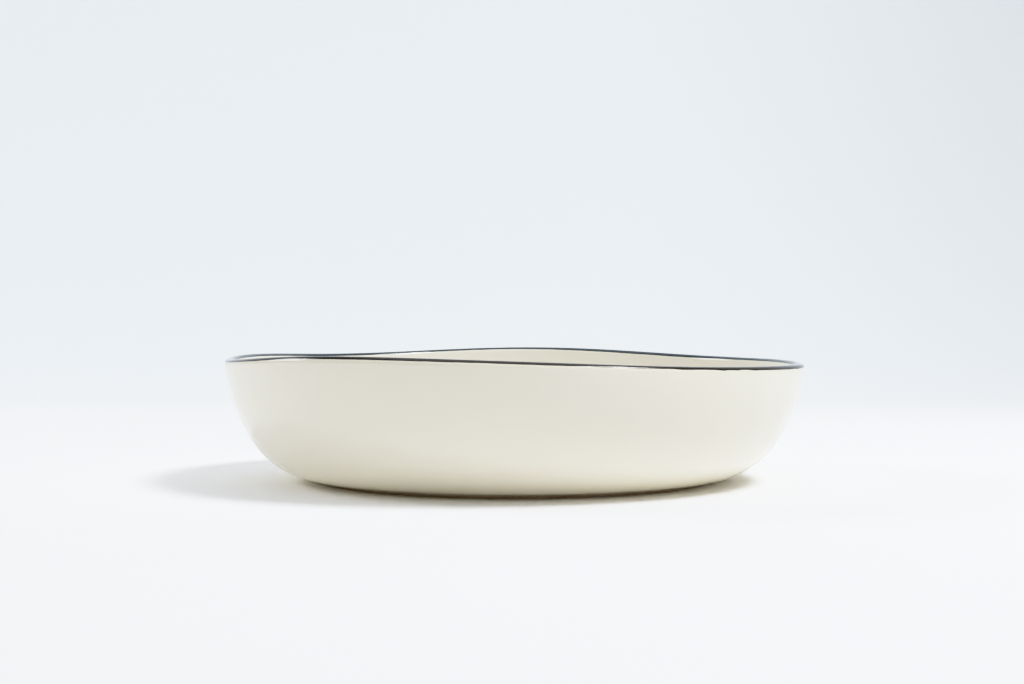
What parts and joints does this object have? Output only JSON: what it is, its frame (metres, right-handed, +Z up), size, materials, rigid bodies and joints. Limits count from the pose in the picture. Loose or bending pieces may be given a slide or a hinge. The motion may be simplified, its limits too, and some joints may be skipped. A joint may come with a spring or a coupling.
{
  "type": "salad bowl",
  "caption": "Low, wide salad bowl of glazed ceramic with a rounded belly, a gently swaying rim, a dark glazed lip and a bare standing ring under the base.",
  "frame": {"origin": "on the table, in the middle of the standing ring", "axes": "+Z up along the bowl's axis, -Y towards the viewer of the picture, +X to the viewer's right"},
  "size_m": [0.3, 0.2999, 0.0668],
  "materials": {
    "bare_clay": "matte",
    "cream_glaze": "gloss",
    "dark_glaze": "gloss"
  },
  "bodies": {
    "root": {"clay_body": "bare_clay", "outside_glaze": "cream_glaze", "inside_glaze": "cream_glaze", "base_glaze": "cream_glaze", "rim_band": "dark_glaze"}
  },
  "joints": []
}
